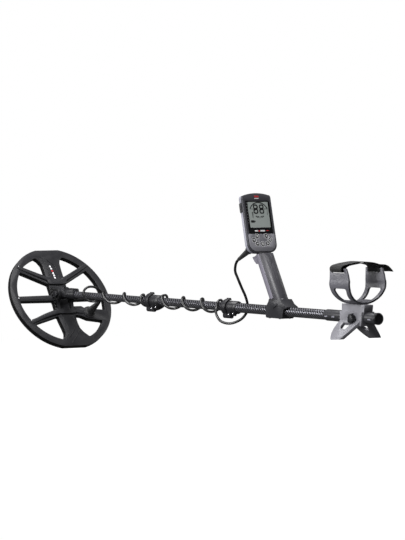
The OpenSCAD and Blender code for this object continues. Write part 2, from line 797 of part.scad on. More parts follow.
coil_housing();
coil_skid_plate();
coil_tx_winding();
coil_rx_winding();
cable_gland();
coil_bolt();
coil_nut();
shaft_yoke();
yoke_washers();
lower_tube();
lower_bush();
middle_tube();
middle_bush();
lower_lock_collar();
lower_lock_pin();
lower_lock_screws();
lower_lock_lever();
upper_tube();
upper_lock_collar();
upper_lock_pin();
upper_lock_screws();
upper_lock_lever();
rear_sleeve();
end_cap();
grip_left_shell();
grip_right_shell();
grip_front_shell();
grip_clamp();
grip_screws();
battery_cell();
pod_front_shell();
pod_rear_shell();
display_window();
lcd_panel();
main_board();
keypad_mat();
power_button();
menu_button();
up_button();
down_button();
left_button();
right_button();
mode_button();
side_button();
speaker();
cable_socket();
headphone_socket();
torch_lens();
armrest_stand();
armrest_cuff();
cuff_screws();
arm_strap();
armrest_knob();
cable_plug();
plug_ring();
cable_coil_end();
cable_lower_wrap();
cable_lock_pass();
cable_middle_wrap();
cable_upper_end();
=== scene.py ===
"""Looks of the metal detector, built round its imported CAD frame."""
import json
import math

import bmesh
import bpy
import numpy as np
from mathutils import Matrix, Vector


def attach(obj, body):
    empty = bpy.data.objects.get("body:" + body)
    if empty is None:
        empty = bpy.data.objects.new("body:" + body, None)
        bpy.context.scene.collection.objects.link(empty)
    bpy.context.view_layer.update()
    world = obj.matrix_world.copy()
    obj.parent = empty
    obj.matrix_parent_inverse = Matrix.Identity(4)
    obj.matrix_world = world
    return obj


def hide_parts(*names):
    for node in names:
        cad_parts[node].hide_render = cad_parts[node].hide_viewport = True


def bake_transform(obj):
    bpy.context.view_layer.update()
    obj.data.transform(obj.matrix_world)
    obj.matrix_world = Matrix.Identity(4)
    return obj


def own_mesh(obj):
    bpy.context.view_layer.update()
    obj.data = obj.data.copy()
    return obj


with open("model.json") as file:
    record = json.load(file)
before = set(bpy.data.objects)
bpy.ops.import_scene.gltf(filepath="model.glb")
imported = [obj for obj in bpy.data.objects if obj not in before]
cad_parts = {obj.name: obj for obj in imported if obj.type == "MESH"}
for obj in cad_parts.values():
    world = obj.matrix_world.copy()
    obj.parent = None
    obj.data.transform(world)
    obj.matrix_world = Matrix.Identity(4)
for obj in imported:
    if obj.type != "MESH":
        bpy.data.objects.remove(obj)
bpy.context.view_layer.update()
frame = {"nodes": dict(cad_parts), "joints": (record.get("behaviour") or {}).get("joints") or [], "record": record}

MM = 0.001
NODES = frame["nodes"]
JOINTS = {joint["name"]: joint for joint in frame["joints"]}
NODE_BODY = {n: b for b, ns in frame["record"]["behaviour"]["bodies"].items() for n in ns}
NODE_SLOT = {s["node"]: s["material_slot"] for s in frame["record"]["subparts"]}

# ---------------------------------------------------------------- places
# The shaft's own frame, in millimetres: x from the coil pivot to the rear, -y to the left.
SHAFT_X = Vector(JOINTS["middle_slide"]["axis"]).normalized()
SHAFT_Y = Vector((0, 1, 0))
SHAFT_Z = SHAFT_X.cross(SHAFT_Y)
PIVOT = Vector(JOINTS["coil_tilt"]["pos_m"])
SHAFT_PITCH = math.atan2(-SHAFT_X.z, SHAFT_X.x)


def frame_matrix(x_axis, z_axis, origin):
    """A 4x4 that takes millimetres in a local frame to metres in the row frame."""
    y_axis = z_axis.cross(x_axis)
    matrix = Matrix((x_axis, y_axis, z_axis)).transposed().to_4x4()
    matrix.translation = origin
    return matrix @ Matrix.Scale(MM, 4)


SHAFT = frame_matrix(SHAFT_X, SHAFT_Z, PIVOT)


def turned(matrix, degrees, origin):
    """The local frame at origin (in matrix's frame), turned about Y."""
    return matrix @ Matrix.Translation(origin) @ Matrix.Rotation(math.radians(degrees), 4, "Y")


COIL_ANGLE = 58.2
POD_LEAN = 13.6
COIL = turned(SHAFT, COIL_ANGLE, (0, 0, 0))
POD = turned(SHAFT, -POD_LEAN, (856, 0, 128))
COIL_TOP = -19
COIL_WAY = (COIL.to_3x3() @ Vector((0, 0, 1))).normalized()

# ---------------------------------------------------------------- camera
CAMERA_DISTANCE = 6.0
CAMERA_AZIMUTH = 55.7
CAMERA_ELEVATION = 2.3
CAMERA_ROLL = -0.0016
CAMERA_TARGET = (613, 0, 80.6)
LENS_MM = 230.9


def make_camera():
    azimuth, elevation = math.radians(CAMERA_AZIMUTH), math.radians(CAMERA_ELEVATION)
    back = (SHAFT_X * math.sin(azimuth) * math.cos(elevation)
            - SHAFT_Y * math.cos(azimuth) * math.cos(elevation)
            + SHAFT_Z * math.sin(elevation))
    right = (-back).cross(SHAFT_Z).normalized()
    up = back.cross(right)
    turn = Matrix.Rotation(-CAMERA_ROLL, 4, back)
    right, up = turn @ right, turn @ up
    data = bpy.data.cameras.new("camera")
    data.lens = LENS_MM
    data.sensor_width = 36
    data.sensor_fit = "HORIZONTAL"
    data.clip_end = 100
    camera = bpy.data.objects.new("camera", data)
    matrix = Matrix((right, up, back)).transposed().to_4x4()
    matrix.translation = SHAFT @ Vector(CAMERA_TARGET) + back * CAMERA_DISTANCE
    camera.matrix_world = matrix
    bpy.context.scene.collection.objects.link(camera)
    bpy.context.scene.camera = camera


make_camera()


# ---------------------------------------------------------------- node materials
class Nodes:
    """A short way to write a material's node tree."""

    def __init__(self, name):
        self.material = bpy.data.materials.new(name)
        self.material.use_nodes = True
        self.tree = self.material.node_tree
        self.tree.nodes.clear()
        self.output = self.add("ShaderNodeOutputMaterial")
        self.shader = self.add("ShaderNodeBsdfPrincipled")
        self.link(self.shader.outputs["BSDF"], self.output.inputs["Surface"])
        self.place = self.add("ShaderNodeTexCoord").outputs["Object"]

    def add(self, kind, **settings):
        node = self.tree.nodes.new(kind)
        for key, value in settings.items():
            setattr(node, key, value)
        return node

    def link(self, a, b):
        self.tree.links.new(a, b)

    def feed(self, socket, value):
        if isinstance(value, bpy.types.NodeSocket):
            self.link(value, socket)
        else:
            socket.default_value = value

    def math(self, operation, a, b=0.0, clamp=False):
        node = self.add("ShaderNodeMath", operation=operation, use_clamp=clamp)
        self.feed(node.inputs[0], a)
        self.feed(node.inputs[1], b)
        return node.outputs[0]

    def mix(self, share, a, b):
        node = self.add("ShaderNodeMix", data_type="RGBA")
        self.feed(node.inputs["Factor"], share)
        self.feed(node.inputs["A"], a)
        self.feed(node.inputs["B"], b)
        return node.outputs["Result"]

    def noise(self, scale, detail=3.0, place=None):
        node = self.add("ShaderNodeTexNoise")
        self.link(place or self.place, node.inputs["Vector"])
        node.inputs["Scale"].default_value = scale
        node.inputs["Detail"].default_value = detail
        return node.outputs["Fac"]

    def cells(self, scale):
        node = self.add("ShaderNodeTexVoronoi")
        self.link(self.place, node.inputs["Vector"])
        node.inputs["Scale"].default_value = scale
        return node.outputs["Distance"]

    def spread(self, value, low, high, to_low, to_high):
        node = self.add("ShaderNodeMapRange")
        self.feed(node.inputs["Value"], value)
        for name, number in (("From Min", low), ("From Max", high), ("To Min", to_low), ("To Max", to_high)):
            node.inputs[name].default_value = number
        return node.outputs["Result"]

    def bump(self, height, strength, distance, normal=None):
        node = self.add("ShaderNodeBump")
        self.feed(node.inputs["Height"], height)
        node.inputs["Strength"].default_value = strength
        node.inputs["Distance"].default_value = distance
        if normal is not None:
            self.link(normal, node.inputs["Normal"])
        return node.outputs["Normal"]

    def edges(self, radius):
        """1 on outer edges and 0 on flats, from the gap between a rounded normal and the true one."""
        rounded = self.add("ShaderNodeBevel", samples=4)
        rounded.inputs["Radius"].default_value = radius
        true_normal = self.add("ShaderNodeNewGeometry").outputs["Normal"]
        dot = self.add("ShaderNodeVectorMath", operation="DOT_PRODUCT")
        self.link(rounded.outputs["Normal"], dot.inputs[0])
        self.link(true_normal, dot.inputs[1])
        return self.spread(dot.outputs["Value"], 0.995, 0.80, 0.0, 1.0)

    def facing(self, way):
        """1 where the object's own normal looks along way, 0 where it looks across or away."""
        coordinates = self.add("ShaderNodeTexCoord")
        dot = self.add("ShaderNodeVectorMath", operation="DOT_PRODUCT")
        self.link(coordinates.outputs["Normal"], dot.inputs[0])
        dot.inputs[1].default_value = way
        return self.spread(dot.outputs["Value"], 0.35, 0.85, 0.0, 1.0)

    def set(self, **sockets):
        for name, value in sockets.items():
            self.feed(self.shader.inputs[name.replace("_", " ")], value)
        return self.material


def rgba(colour):
    return (*colour, 1.0)


def shade(colour, factor):
    return rgba([min(1.0, c * factor) for c in colour])


def moulded(name, colour, rough=0.42, grain=900, depth=0.00006, mottle=0.12, wear_and_highlight=0.35, gloss=0.5,
            top_way=None, side_share=0.3):
    """Moulded plastic: fine spark-eroded grain, slow colour drift, lighter edges that are partly rubbed wear and
    partly a painted highlight, and patchy gloss.
    With top_way, faces that don't look that way are darkened to side_share of the colour. That stands
    in for shading that the plain lights don't give, and is not a property of the plastic."""
    n = Nodes(name)
    drift = n.noise(14, 4)
    base = n.mix(n.spread(drift, 0.35, 0.65, 0, 1), shade(colour, 1 - mottle), shade(colour, 1 + mottle))
    # Edges are lightened: partly rubbed wear, partly a painted highlight along every edge.
    rub_and_highlight = n.math("MULTIPLY", n.edges(0.0011), n.spread(n.noise(120, 3), 0.4, 0.7, 0.2, 1.0))
    if top_way is not None:
        base = n.mix(n.facing(top_way), shade(colour, side_share), base)
    rubbed_and_highlit = n.mix(n.math("MULTIPLY", rub_and_highlight, wear_and_highlight), base, shade([c + 0.05 for c in colour], 2.2))
    grainy = n.noise(grain, 2)
    patchy = n.spread(n.noise(45, 4), 0.3, 0.7, rough - 0.05, rough + 0.07)
    return n.set(
        Base_Color=rubbed_and_highlit,
        Roughness=n.math("ADD", patchy, n.math("MULTIPLY", grainy, 0.04)),
        Normal=n.bump(grainy, 0.35, depth),
        Specular_IOR_Level=gloss,
    )


def soft_rubber(name, colour, rough=0.6):
    """Rubber or silicone: matt, with a fine pebble and a dusty sheen."""
    n = Nodes(name)
    pebble = n.cells(1400)
    dust = n.spread(n.noise(30, 5), 0.45, 0.75, 0.0, 0.25)
    return n.set(
        Base_Color=n.mix(dust, rgba(colour), shade([c + 0.02 for c in colour], 1.5)),
        Roughness=n.spread(n.noise(60, 3), 0.3, 0.7, rough - 0.06, rough + 0.08),
        Normal=n.bump(pebble, 0.3, 0.00005),
        Sheen_Weight=0.15,
        Sheen_Roughness=0.5,
    )


def cable_sheath(name):
    """Smooth extruded cable sheath with faint drawing lines and scuffs."""
    n = Nodes(name)
    scuff = n.spread(n.noise(160, 4), 0.52, 0.70, 0.0, 1.0)
    clean, scuffed = rgba((0.017, 0.017, 0.018)), rgba((0.06, 0.06, 0.064))
    return n.set(
        Base_Color=n.mix(n.math("MULTIPLY", scuff, 0.35), clean, scuffed),
        Roughness=n.spread(scuff, 0, 1, 0.30, 0.48),
        Normal=n.bump(n.noise(700, 2), 0.15, 0.00004),
        Coat_Weight=0.2,
        Coat_Roughness=0.25,
    )


TOW_WIDTH = 0.0021
TOWS_ROUND = 32
FIBRES_PER_TOW = 5


def carbon(name):
    """Clear-coated twill carbon weave, laid round the shaft: two tows that catch the light in turn."""
    n = Nodes(name)
    shift = n.add("ShaderNodeVectorMath", operation="SUBTRACT")
    n.link(n.place, shift.inputs[0])
    shift.inputs[1].default_value = PIVOT
    turn = n.add("ShaderNodeVectorRotate", rotation_type="Y_AXIS")
    n.link(shift.outputs["Vector"], turn.inputs["Vector"])
    turn.inputs["Angle"].default_value = -SHAFT_PITCH
    split = n.add("ShaderNodeSeparateXYZ")
    n.link(turn.outputs["Vector"], split.inputs["Vector"])
    along = n.math("DIVIDE", split.outputs["X"], TOW_WIDTH)
    around = n.math("MULTIPLY", n.math("ARCTAN2", split.outputs["Y"], split.outputs["Z"]),
                    TOWS_ROUND / (2 * math.pi))
    column, row = n.math("FLOOR", along), n.math("FLOOR", around)
    step = n.math("FLOORED_MODULO", n.math("ADD", column, row), 4)
    warp_on_top = n.math("LESS_THAN", step, 1.5)
    fine_along = n.math("SINE", n.math("MULTIPLY", along, 2 * math.pi * FIBRES_PER_TOW))
    fine_around = n.math("SINE", n.math("MULTIPLY", around, 2 * math.pi * FIBRES_PER_TOW))
    fibres = n.add("ShaderNodeMix", data_type="FLOAT")
    n.link(warp_on_top, fibres.inputs["Factor"])
    n.link(fine_along, fibres.inputs["A"])
    n.link(fine_around, fibres.inputs["B"])
    weave = n.math("ADD", n.math("MULTIPLY", fibres.outputs["Result"], 0.12), warp_on_top)
    tint = n.spread(n.noise(25, 3), 0.3, 0.7, 0.8, 1.2)
    dark, light = rgba((0.012, 0.012, 0.014)), rgba((0.34, 0.34, 0.38))
    colour = n.mix(n.math("MULTIPLY", warp_on_top, tint, True), dark, light)
    return n.set(
        Base_Color=colour,
        Metallic=0.8,
        Roughness=n.spread(warp_on_top, 0, 1, 0.38, 0.26),
        Normal=n.bump(weave, 0.35, 0.00005),
        Coat_Weight=0.7,
        Coat_Roughness=0.12,
    )


def metal(name, colour, rough=0.22):
    """Turned and brushed metal with fine rings of tool marks."""
    n = Nodes(name)
    lines = n.noise(2600, 2)
    return n.set(
        Base_Color=n.mix(n.spread(n.noise(200, 3), 0.4, 0.7, 0, 1), rgba(colour), shade(colour, 0.8)),
        Metallic=1.0,
        Roughness=n.spread(lines, 0.3, 0.7, rough - 0.05, rough + 0.1),
        Normal=n.bump(lines, 0.2, 0.00003),
    )


def glossy(name, colour, rough=0.06, clear=0.0):
    """Polished, hard-coated plastic: almost flat, with faint swirl marks."""
    n = Nodes(name)
    swirl = n.noise(350, 5)
    return n.set(
        Base_Color=n.mix(n.spread(swirl, 0.3, 0.7, 0, 1), shade(colour, 0.9), shade(colour, 1.1)),
        Roughness=n.spread(swirl, 0.35, 0.75, rough, rough + 0.05),
        Transmission_Weight=clear,
        Coat_Weight=0.5,
        Coat_Roughness=0.03,
    )


def display(name):
    """Reflective liquid-crystal panel: grey-green with a faint pixel grid under gloss."""
    n = Nodes(name)
    grid = n.cells(2200)
    dim, bright = rgba((0.36, 0.40, 0.385)), rgba((0.41, 0.45, 0.43))
    return n.set(
        Base_Color=n.mix(n.spread(n.noise(20, 3), 0.3, 0.7, 0, 1), dim, bright),
        Roughness=n.spread(grid, 0, 1, 0.28, 0.36),
        Normal=n.bump(grid, 0.05, 0.00002),
        Coat_Weight=0.6,
        Coat_Roughness=0.04,
    )


RIB_PITCH = 0.0016
PICK_PITCH = 0.0011


def webbing(name):
    """Woven polyester webbing: ribs across and fine picks along, with a little fuzz."""
    n = Nodes(name)
    split = n.add("ShaderNodeSeparateXYZ")
    n.link(n.place, split.inputs["Vector"])
    ribs = n.math("SINE", n.math("MULTIPLY", split.outputs["X"], 2 * math.pi / RIB_PITCH))
    reach = n.math("ADD", split.outputs["Y"], n.math("MULTIPLY", split.outputs["Z"], 0.6))
    picks = n.math("SINE", n.math("MULTIPLY", reach, 2 * math.pi / PICK_PITCH))
    weave = n.math("MULTIPLY", n.math("ADD", ribs, 1.0), n.math("ADD", picks, 1.0))
    fuzz = n.noise(900, 4)
    # The weave's low places get the darker colour: painted shade in its valleys.
    shaded_valley, crown = rgba((0.004, 0.004, 0.0045)), rgba((0.014, 0.014, 0.015))
    return n.set(
        Base_Color=n.mix(n.spread(weave, 0, 4, 0, 1), shaded_valley, crown),
        Roughness=n.spread(fuzz, 0.3, 0.7, 0.72, 0.92),
        Normal=n.bump(n.math("ADD", weave, fuzz), 0.6, 0.00018),
        Sheen_Weight=0.1,
        Sheen_Roughness=0.45,
    )


def circuit_board(name):
    """Green solder mask with copper tracks."""
    n = Nodes(name)
    tracks = n.spread(n.cells(420), 0.02, 0.10, 1.0, 0.0)
    return n.set(
        Base_Color=n.mix(tracks, rgba((0.012, 0.10, 0.035)), rgba((0.30, 0.20, 0.06))),
        Roughness=n.spread(n.noise(200, 3), 0.3, 0.7, 0.25, 0.4),
    )


MATERIALS = {
    # The coil plastic's lighter edges are partly a painted highlight, and its faces not looking along COIL_WAY get
    # painted shade.
    "coil_plastic": moulded("coil_plastic", (0.022, 0.022, 0.025), 0.38, wear_and_highlight=0.6, gloss=0.45,
                            top_way=COIL_WAY, side_share=0.14),
    "skid_plastic": moulded("skid_plastic", (0.010, 0.010, 0.011), 0.46),
    "copper": metal("copper", (0.62, 0.28, 0.12), 0.3),
    "rubber": soft_rubber("rubber", (0.014, 0.014, 0.015)),
    "black_plastic": moulded("black_plastic", (0.020, 0.020, 0.023), 0.34),
    "carbon": carbon("carbon"),
    "lock_plastic": moulded("lock_plastic", (0.022, 0.022, 0.025), 0.38),
    "steel": metal("steel", (0.80, 0.80, 0.82)),
    "sleeve_plastic": moulded("sleeve_plastic", (0.040, 0.040, 0.045), 0.30, gloss=0.7),
    "grip_plastic": moulded("grip_plastic", (0.052, 0.051, 0.060), 0.40, grain=1300, gloss=0.6),
    "strip_rubber": moulded("strip_rubber", (0.21, 0.20, 0.245), 0.5),
    "clamp_plastic": moulded("clamp_plastic", (0.034, 0.034, 0.039), 0.34),
    "battery_wrap": glossy("battery_wrap", (0.08, 0.24, 0.5), 0.2),
    "bezel_plastic": moulded("bezel_plastic", (0.058, 0.058, 0.068), 0.42),
    "pod_grey": moulded("pod_grey", (0.33, 0.33, 0.385), 0.4),
    "window_gloss": glossy("window_gloss", (0.006, 0.006, 0.007)),
    "lcd": display("lcd"),
    "board": circuit_board("board"),
    "button_rubber": soft_rubber("button_rubber", (0.030, 0.030, 0.034), 0.5),
    "lens": glossy("lens", (0.85, 0.9, 0.93), 0.08, clear=0.8),
    "stand_grey": moulded("stand_grey", (0.215, 0.213, 0.235), 0.42),
    "cuff_grey": moulded("cuff_grey", (0.125, 0.124, 0.142), 0.38),
    "webbing": webbing("webbing"),
    "cable": cable_sheath("cable"),
    "keypad_grey": moulded("keypad_grey", (0.26, 0.257, 0.285), 0.45),
    "ink_dark": glossy("ink_dark", (0.012, 0.013, 0.013), 0.3),
    "ink_light": moulded("ink_light", (0.88, 0.88, 0.90), 0.5),
    "ink_red": moulded("ink_red", (0.55, 0.03, 0.035), 0.5),
}

for node_name, node in NODES.items():
    node.data.materials.clear()
    node.data.materials.append(MATERIALS[NODE_SLOT[node_name]])


# ---------------------------------------------------------------- mesh helpers
def shown(name, mesh, body, material, stands_for=()):
    """Puts a mesh that is already in the row frame into the scene, on a body."""
    obj = bpy.data.objects.new(name, mesh)
    bpy.context.scene.collection.objects.link(obj)
    mesh.materials.clear()
    mesh.materials.append(MATERIALS[material])
    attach(obj, body)
    if stands_for:
        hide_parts(*stands_for)
    return obj


def smooth(mesh, angle=35):
    for face in mesh.polygons:
        face.use_smooth = True
    mesh.set_sharp_from_angle(angle=math.radians(angle))


def with_modifiers(mesh, *steps):
    """The mesh after (type, settings) modifiers, applied."""
    obj = bpy.data.objects.new("working", mesh)
    bpy.context.scene.collection.objects.link(obj)
    for kind, settings in steps:
        modifier = obj.modifiers.new(kind.lower(), kind)
        for key, value in settings.items():
            setattr(modifier, key, value)
    view = bpy.context.evaluated_depsgraph_get()
    result = bpy.data.meshes.new_from_object(obj.evaluated_get(view))
    bpy.data.objects.remove(obj)
    return result


BEVEL_ANGLE = 38


def rounded(mesh, width, segments=2):
    """Rounds a mesh's sharp edges by width millimetres and shades it smooth."""
    bevel = {"width": width * MM, "segments": segments, "limit_method": "ANGLE",
             "angle_limit": math.radians(BEVEL_ANGLE), "use_clamp_overlap": True,
             "miter_outer": "MITER_ARC", "harden_normals": False}
    result = with_modifiers(mesh, ("BEVEL", bevel))
    smooth(result)
    return result


def flatten_facets(mesh):
    """Joins the triangles of each flat face, so that an edge is an edge."""
    edit = bmesh.new()
    edit.from_mesh(mesh)
    bmesh.ops.remove_doubles(edit, verts=edit.verts, dist=1e-6)
    bmesh.ops.dissolve_limit(edit, angle_limit=math.radians(0.4), verts=edit.verts, edges=edit.edges,
                             use_dissolve_boundaries=False)
    edit.to_mesh(mesh)
    edit.free()
    return mesh


def soften(node_name, width):
    """A moulded version of a CAD node: the same shape with its edges rounded."""
    mesh = rounded(flatten_facets(NODES[node_name].data.copy()), width)
    slot = NODE_SLOT[node_name]
    shown(node_name + "_finish", mesh, NODE_BODY[node_name], slot, [node_name])


def outline_prism(points, depth_low, depth_high, matrix, to_xyz):
    """A prism over an outline of 2D points, from depth_low to depth_high."""
    edit = bmesh.new()
    rings = [[edit.verts.new(matrix @ Vector(to_xyz(u, v, depth))) for u, v in points]
             for depth in (depth_low, depth_high)]
    edit.faces.new(list(reversed(rings[0])))
    edit.faces.new(rings[1])
    count = len(points)
    for i in range(count):
        j = (i + 1) % count
        edit.faces.new((rings[0][i], rings[0][j], rings[1][j], rings[1][i]))
    bmesh.ops.recalc_face_normals(edit, faces=edit.faces)
    mesh = bpy.data.meshes.new("prism")
    edit.to_mesh(mesh)
    edit.free()
    return mesh


def joined(meshes):
    """Several meshes as one."""
    edit = bmesh.new()
    for mesh in meshes:
        edit.from_mesh(mesh)
    result = bpy.data.meshes.new("joined")
    edit.to_mesh(result)
    edit.free()
    return result


def arc(centre, radius, start, stop, steps):
    """Points along an arc, angles in degrees."""
    angles = [math.radians(start + (stop - start) * i / steps) for i in range(steps + 1)]
    return [(centre[0] + radius * math.cos(a), centre[1] + radius * math.sin(a)) for a in angles]


def box_outline(u, v, width, height, corner, steps=5):
    """A rectangle with round corners, centred on (u, v)."""
    points = []
    for su, sv, start in ((1, 1, 0), (-1, 1, 90), (-1, -1, 180), (1, -1, 270)):
        centre = (u + su * (width / 2 - corner), v + sv * (height / 2 - corner))
        points += arc(centre, corner, start, start + 90, steps)
    return points


# ---------------------------------------------------------------- coil cable
CABLE_RADIUS = 3.0
CABLE_SIDES = 14


def flowing(points, way_in, way_out, step=2.2):
    """A smooth curve through points, leaving along way_in and arriving along way_out."""
    points = [Vector(p) for p in points]
    slopes = []
    for i, point in enumerate(points):
        if i == 0:
            slopes.append(Vector(way_in).normalized() * (points[1] - point).length)
        elif i == len(points) - 1:
            slopes.append(Vector(way_out).normalized() * (point - points[i - 1]).length)
        else:
            slopes.append((points[i + 1] - points[i - 1]) / 2)
    curve = []
    for i in range(len(points) - 1):
        a, b, sa, sb = points[i], points[i + 1], slopes[i], slopes[i + 1]
        count = max(2, round((b - a).length / step))
        for k in range(count):
            t = k / count
            curve.append((2 * t**3 - 3 * t**2 + 1) * a + (t**3 - 2 * t**2 + t) * sa
                         + (3 * t**2 - 2 * t**3) * b + (t**3 - t**2) * sb)
    return curve + [points[-1]]


def tube(route, radius, matrix, way_in, way_out):
    """A closed round tube along a route, with its two end rings square to the given ways."""
    count = len(route)
    edit = bmesh.new()
    rings = []
    side = Vector((0.31, 0.52, 0.79))
    for i, point in enumerate(route):
        if i == 0:
            way = Vector(way_in)
        elif i == count - 1:
            way = Vector(way_out)
        else:
            way = route[i + 1] - route[i - 1]
        way = way.normalized()
        side = (side - side.dot(way) * way).normalized()
        other = way.cross(side)
        angles = [2 * math.pi * k / CABLE_SIDES for k in range(CABLE_SIDES)]
        rings.append([edit.verts.new(matrix @ (point + radius * (math.cos(a) * side + math.sin(a) * other)))
                      for a in angles])
    for first, second in zip(rings, rings[1:]):
        for k in range(CABLE_SIDES):
            m = (k + 1) % CABLE_SIDES
            edit.faces.new((first[k], first[m], second[m], second[k]))
    edit.faces.new(list(reversed(rings[0])))
    edit.faces.new(rings[-1])
    bmesh.ops.recalc_face_normals(edit, faces=edit.faces)
    mesh = bpy.data.meshes.new("tube")
    edit.to_mesh(mesh)
    edit.free()
    smooth(mesh, 50)
    return mesh


WRAP_STEPS_PER_TURN = 40


def wrap(crests, radius):
    """Points round the shaft: crests lists (turn, shaft position) and is followed evenly."""
    turns = [c[0] for c in crests]
    places = [c[1] for c in crests]
    count = round((turns[-1] - turns[0]) * WRAP_STEPS_PER_TURN)
    route = []
    for i in range(count + 1):
        t = turns[0] + (turns[-1] - turns[0]) * i / count
        angle = 2 * math.pi * t
        place = np.interp(t, turns, places)
        route.append(Vector((place, -radius * math.sin(angle), radius * math.cos(angle))))
    return route


WRAP_RADIUS = 13.2
WRAP_RADIUS_MIDDLE = 14.4
LOWER_CRESTS = ((-0.5, 134), (0, 183), (1, 278), (2, 362), (2.5, 380))
MIDDLE_CRESTS = ((0, 447), (1, 534), (2, 612), (3, 687), (3.25, 692))
GLAND_TIP = (SHAFT.inverted() @ COIL) @ Vector((45, 68, 37))
PLUG = turned(SHAFT, -118, (835.8, -25, 133.4))
PLUG_LENGTH = 47
PLUG_END = (SHAFT.inverted() @ PLUG) @ Vector((0, 0, PLUG_LENGTH))
GLAND_WAY = (SHAFT.inverted() @ COIL).to_3x3() @ Vector((0, 0, 1))
PLUG_WAY = -((SHAFT.inverted() @ PLUG).to_3x3() @ Vector((0, 0, 1)))
LOOP_WAY = (0.7, 0.7, 0)
LOCK_WAY = (0.4, 0.9, 0)
CREST_WAY = (0.65, -0.75, 0)
FRONT_WAY = (0.35, 0, -0.95)
COIL_ROUTE = [GLAND_TIP, (70, 66, -10), (90, 56, 0), (106, 42, 7), (116, 27, 15), (122, 9, 22),
              (122, -9, 21), (121, -19, 9), (125, -14, -8), (134, 0, -13.2)]
LOCK_ROUTE = [(380, 0, -13.2), (385, 5, -19.5), (397, 10, -21.5), (411, 17, -17), (424, 21, -8),
              (434, 21, 3), (442, 13, 14), (447, 0, 14.4)]
UPPER_ROUTE = [(692, -14.4, 0), (695, -19, -7), (702, -21, -20), (713, -16, -33), (730, -3, -37),
               (750, 11, -28), (762, 19, -12), (768, 18, 6), (774, 8, 26), (779, -6, 46),
               (779, -17, 68), (776, -22, 84), (783, -25, 101), PLUG_END]


def cable_piece(name, route, way_in, way_out, body, node):
    mesh = tube(route, CABLE_RADIUS, SHAFT, way_in, way_out)
    return shown(name, mesh, body, "cable", stands_for=[node])


def make_cable():
    first = cable_piece("coil_lead", flowing(COIL_ROUTE, GLAND_WAY, LOOP_WAY), GLAND_WAY, LOOP_WAY,
                        "lower_shaft", "cable_coil_end")
    first.parent = None
    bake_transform(first)
    wraps = (("lower_wrap", LOWER_CRESTS, WRAP_RADIUS, LOOP_WAY, LOCK_WAY, "middle_shaft",
              "cable_lower_wrap", "lower_slide"),
             ("middle_wrap", MIDDLE_CRESTS, WRAP_RADIUS_MIDDLE, CREST_WAY, FRONT_WAY, "root",
              "cable_middle_wrap", "middle_slide"))
    for name, crests, radius, way_in, way_out, body, node, joint in wraps:
        piece = cable_piece(name, wrap(crests, radius), way_in, way_out, body, node)
        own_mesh(piece)
    cable_piece("lock_pass", flowing(LOCK_ROUTE, LOCK_WAY, CREST_WAY), LOCK_WAY, CREST_WAY,
                "middle_shaft", "cable_lock_pass")
    cable_piece("plug_lead", flowing(UPPER_ROUTE, FRONT_WAY, PLUG_WAY), FRONT_WAY, PLUG_WAY,
                "root", "cable_upper_end")


make_cable()

# ---------------------------------------------------------------- moulded pieces
for softened, edge in (
        ("coil_housing", 1.2), ("coil_skid_plate", 0.5), ("coil_bolt", 0.8),
        ("coil_nut", 0.8), ("shaft_yoke", 1.0), ("lower_lock_collar", 0.8), ("lower_lock_lever", 0.9),
        ("upper_lock_collar", 0.8), ("upper_lock_lever", 0.9), ("rear_sleeve", 0.4), ("end_cap", 0.8),
        ("grip_left_shell", 0.6), ("grip_right_shell", 0.6), ("grip_front_shell", 1.2),
        ("grip_clamp", 1.6), ("pod_front_shell", 0.8), ("pod_rear_shell", 1.5), ("armrest_stand", 1.2),
        ("armrest_cuff", 0.8), ("armrest_knob", 1.2), ("plug_ring", 0.5), ("side_button", 0.3)):
    soften(softened, edge)


# ---------------------------------------------------------------- more mesh helpers
def from_rings(rings, matrix, capped=True):
    """A skin over rings of points, each ring joined to the next."""
    edit = bmesh.new()
    loops = [[edit.verts.new(matrix @ Vector(p)) for p in ring] for ring in rings]
    count = len(loops[0])
    for first, second in zip(loops, loops[1:]):
        for k in range(count):
            m = (k + 1) % count
            edit.faces.new((first[k], first[m], second[m], second[k]))
    if capped:
        edit.faces.new(list(reversed(loops[0])))
        edit.faces.new(loops[-1])
    bmesh.ops.remove_doubles(edit, verts=edit.verts, dist=1e-7)
    bmesh.ops.recalc_face_normals(edit, faces=edit.faces)
    mesh = bpy.data.meshes.new("rings")
    edit.to_mesh(mesh)
    edit.free()
    return mesh


def lathe(profile, matrix, sides=40):
    """A turned solid: profile lists (radius, height), starting and ending near the axis."""
    angles = [2 * math.pi * k / sides for k in range(sides)]
    mesh = from_rings([[(r * math.cos(a), r * math.sin(a), h) for a in angles] for r, h in profile], matrix)
    smooth(mesh, 30)
    return mesh


def ridge(points, half_width, height, matrix, base):
    """A raised line with round shoulders along 2D points, on the plane z = base.
    half_width and height are functions of the share of the way along."""
    route = flowing([(*p, 0) for p in points], Vector((*points[1], 0)) - Vector((*points[0], 0)),
                    Vector((*points[-1], 0)) - Vector((*points[-2], 0)), step=3.0)
    rings = []
    for i, point in enumerate(route):
        way = route[min(i + 1, len(route) - 1)] - route[max(i - 1, 0)]
        side = Vector((-way.y, way.x, 0)).normalized()
        t = i / (len(route) - 1)
        w, h = half_width(t), height(t)
        profile = ((-w, -0.5), (-w, 0.35 * h), (-0.8 * w, 0.85 * h), (-0.5 * w, h),
                   (0.5 * w, h), (0.8 * w, 0.85 * h), (w, 0.35 * h), (w, -0.5))
        rings.append([(point.x + side.x * u, point.y + side.y * u, base + v) for u, v in profile])
    mesh = from_rings(rings, matrix)
    smooth(mesh, 60)
    return mesh


def band(outer, inner, low, high, matrix, to_xyz):
    """A flat ring between two outlines of as many points, from depth low to high."""
    rings = [[to_xyz(u, v, depth) for u, v in line]
             for line, depth in ((outer, low), (outer, high), (inner, high), (inner, low), (outer, low))]
    return from_rings(rings, matrix, capped=False)


def on_face(u, v, depth):
    """Pod coordinates of a point on the pod's face: u across, v up, depth out of it."""
    return (depth, u, v)


